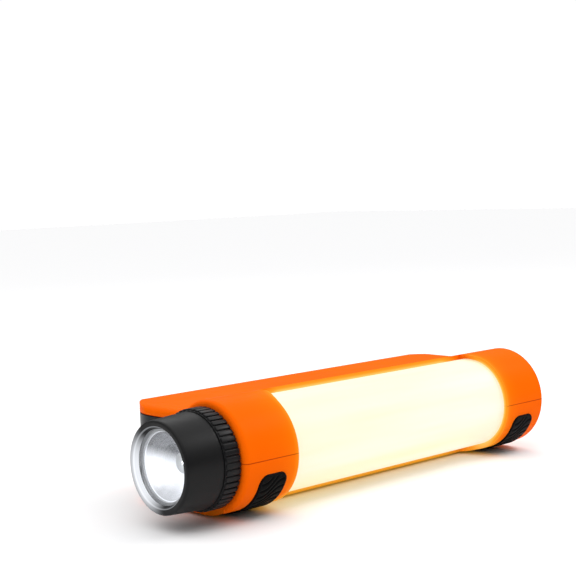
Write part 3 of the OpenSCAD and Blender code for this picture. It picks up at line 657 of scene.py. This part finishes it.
paint("socket_contacts", metallic("contact_gold", (0.95, 0.66, 0.26), (0.86, 0.56, 0.2),
                                  worn_and_highlit=(1.0, 0.82, 0.45)))


# ---------------------------------------------------------------- gauge
# A dark smoked window set flush in the narrow face, and behind it a lit
# two-digit gauge with a percent mark on its black module.
window = eased("display_window", "case", 0.15)
smoked = moulded("display_glass", (0.0015, 0.0018, 0.007), (0.002, 0.0025, 0.012),
                 gloss=(0.06, 0.12), relief=0.001, scuffs_and_highlight=(0.02, 0.02, 0.04), shine=0.12)
smoked.node_tree.nodes["Principled BSDF"].inputs["Alpha"].default_value = 0.45
window.data.materials.clear()
window.data.materials.append(smoked)
paint("display_digits", lit("digits_lit", (0.8, 0.88, 1.0), (0.6, 0.74, 1.0), 2.2))
paint("display_module", moulded("module_black", (0.001, 0.0012, 0.005), (0.0015, 0.002, 0.008),
                                gloss=(0.35, 0.5), shine=0.1))


# ---------------------------------------------------------------- button and port cover
# One black rubber skin, part fixed round the power button and part a flap
# with a pull tab over the charging ports. Its marks are moulded in.
for node, body, slot, width in (("button_surround", "case", "cover_rubber_fixed", 0.35),
                                ("power_button", "power_button", "button_rubber", 0.16),
                                ("port_cover", "port_cover", "cover_rubber_flap", 0.2)):
    rubber = eased(node, body, width)
    rubber.data.materials.clear()
    rubber.data.materials.append(moulded(slot, (0.006, 0.006, 0.0063), (0.010, 0.010, 0.0103),
                                         gloss=(0.52, 0.66), grain=3600, relief=0.018,
                                         scuffs_and_highlight=(0.055, 0.055, 0.058), wear_and_highlight=0.6, shine=0.12))
paint("button_switch", moulded("switch_plastic", (0.05, 0.05, 0.055), (0.07, 0.07, 0.075)))
for node, slot in (("usb_a_port", "port_a_steel"), ("usb_c_port", "port_c_steel")):
    paint(node, metallic(slot, (0.6, 0.6, 0.61), (0.5, 0.5, 0.51), 1800))

# the main board: green solder mask with its copper tracks showing as paler lines
mask = moulded("board_green", (0.008, 0.09, 0.035), (0.006, 0.07, 0.028), gloss=(0.24, 0.34),
               scuffs_and_highlight=(0.35, 0.3, 0.14), wear_and_highlight=0.8)
tree = mask.node_tree
surface = tree.nodes["Principled BSDF"]
tracks = add(tree, "ShaderNodeTexBrick", {
    "Vector": add(tree, "ShaderNodeTexCoord").outputs["Object"], "Scale": 220.0,
    "Mortar Size": 0.06, "Color1": (0, 0, 0, 1), "Color2": (0, 0, 0, 1), "Mortar": (1, 1, 1, 1)})
before = surface.inputs["Base Color"].links[0].from_socket
tree.links.new(tint(tree, tracks.outputs["Color"], before, (0.02, 0.16, 0.06, 1)),
               surface.inputs["Base Color"])
paint("main_board", mask)


# ---------------------------------------------------------------- battery and wiring
# Three foil pouch cells packed in grey foam, joined by nickel straps. Silicone
# leads run to the jump socket and flat cables to the torch and the lamp.
paint("battery_cells", metallic("cell_foil", (0.66, 0.7, 0.76), (0.56, 0.6, 0.66), 400,
                                relief=0.03))
paint("cell_straps", metallic("strap_nickel", (0.66, 0.62, 0.55), (0.56, 0.52, 0.46)))
paint("foam_pads", moulded("foam_grey", (0.16, 0.165, 0.17), (0.1, 0.105, 0.11),
                           gloss=(0.85, 0.95), grain=900, relief=0.3))
for node, slot, colour in (("power_leads", "lead_red", (0.5, 0.012, 0.01)),
                           ("torch_wire", "torch_cable", (0.42, 0.014, 0.012)),
                           ("lamp_wire", "lamp_cable", (0.46, 0.4, 0.33))):
    paint(node, moulded(slot, colour, tuple(0.8 * c for c in colour), gloss=(0.4, 0.55)))


# ---------------------------------------------------------------- rubber pads
# A grooved black rubber band is pressed into a recess at each end, from a
# rounded end on the slab round to the side of the drum. It stands 0.7 mm proud.
DRUM, SOLE = 22.5, 40.0          # radii of the drum and of the curve down to the flat side
SOLE_Y, SOLE_Z = 8, 16           # centre of that curve
FLAT, FLAT_RUN = -24, 44.0       # height of the flat side, and the band's length on it
PROUD, HALF = 0.7, 7.0           # how far the band stands proud, and half its width
# where the band starts and leaves the drum, and where it joins the curve, in degrees
first, meet, sole_in = 194.94, 259.45, 252.36
run_drum = DRUM * math.radians(meet - first)
run_sole = SOLE * math.radians(270 - sole_in)
run_all = run_drum + run_sole + FLAT_RUN


def pad_place(x, s, h):
    """A point s mm along the band from its drum end, h mm above the case's skin."""
    if s < run_drum:
        a = math.radians(first) + s / DRUM
        y, z = (DRUM + h) * math.cos(a), (DRUM + h) * math.sin(a)
    elif s < run_drum + run_sole:
        a = math.radians(sole_in) + (s - run_drum) / SOLE
        y, z = SOLE_Y + (SOLE + h) * math.cos(a), SOLE_Z + (SOLE + h) * math.sin(a)
    else:
        y, z = SOLE_Y + (s - run_drum - run_sole), FLAT - h
    return at(x, y, z)


def pad_width(s):
    """Half the band's width at s: its corners are rounded, its slab end is a half circle."""
    if s < 4:
        return HALF - 4 + math.sqrt(max(16 - (4 - s) ** 2, 0.0))
    if s > run_all - HALF:
        return max(math.sqrt(max(HALF ** 2 - (s - run_all + HALF) ** 2, 0.0)), 0.05)
    return HALF


pad_rubber = {slot: moulded(slot, (0.0025, 0.0025, 0.0027), (0.005, 0.005, 0.0053),
                            gloss=(0.42, 0.58), grain=3200, relief=0.02,
                            scuffs_and_highlight=(0.03, 0.03, 0.032), wear_and_highlight=0.4, shine=0.035)
              for slot in ("pad_rubber_front", "pad_rubber_rear")}
for node, centre, slot in (("front_pad", 14.5, "pad_rubber_front"),
                           ("rear_pad", 170.5, "pad_rubber_rear")):
    rows, cols = 300, 52
    shape = bmesh.new()
    sheet = []
    for i in range(-1, rows + 2):
        s = min(max(i, 0), rows) / rows * run_all
        half = pad_width(s)
        line = []
        for j in range(-1, cols + 2):
            across = (min(max(j, 0), cols) / cols * 2 - 1) * half
            rim = min(half - abs(across), s, run_all - s)
            if i in (-1, rows + 1) or j in (-1, cols + 1):
                height = -0.9
            else:
                crown = math.sqrt(max(1 - (1 - min(rim / 0.55, 1.0)) ** 2, 0.0))
                wave = (s + 0.75 * across + 1.1 * math.sin(across * 0.62)) / 3.3
                ridge = 0.5 - 0.5 * math.cos(2 * math.pi * wave)
                groove = max(0.0, 1 - ridge * 3.2) * min(max((rim - 0.8) / 0.5, 0.0), 1.0)
                height = PROUD * crown - 0.5 * groove
            line.append(shape.verts.new(pad_place(centre + across, s, height)))
        sheet.append(line)
    for i in range(len(sheet) - 1):
        for j in range(len(sheet[0]) - 1):
            shape.faces.new((sheet[i][j], sheet[i + 1][j], sheet[i + 1][j + 1], sheet[i][j + 1]))
    # close the underside, row by row
    for i in range(len(sheet) - 1):
        shape.faces.new((sheet[i][0], sheet[i][-1], sheet[i + 1][-1], sheet[i + 1][0]))
    bmesh.ops.remove_doubles(shape, verts=shape.verts, dist=2e-6)
    bmesh.ops.recalc_face_normals(shape, faces=shape.faces)
    mesh = bpy.data.meshes.new(node + "_band")
    shape.to_mesh(mesh)
    shape.free()
    for face in mesh.polygons:
        face.use_smooth = True
    mesh.materials.append(pad_rubber[slot])
    band = bpy.data.objects.new(node + "_band", mesh)
    scene.collection.objects.link(band)
    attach(band, "case")
    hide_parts(node)


# ---------------------------------------------------------------- screws
# Four zinc-plated self-tapping screws with hexagon sockets close the case
# from the pad side; the pads hide their heads.
paint("shell_screws", metallic("screw_steel", (0.6, 0.6, 0.59), (0.48, 0.48, 0.47), 2000))
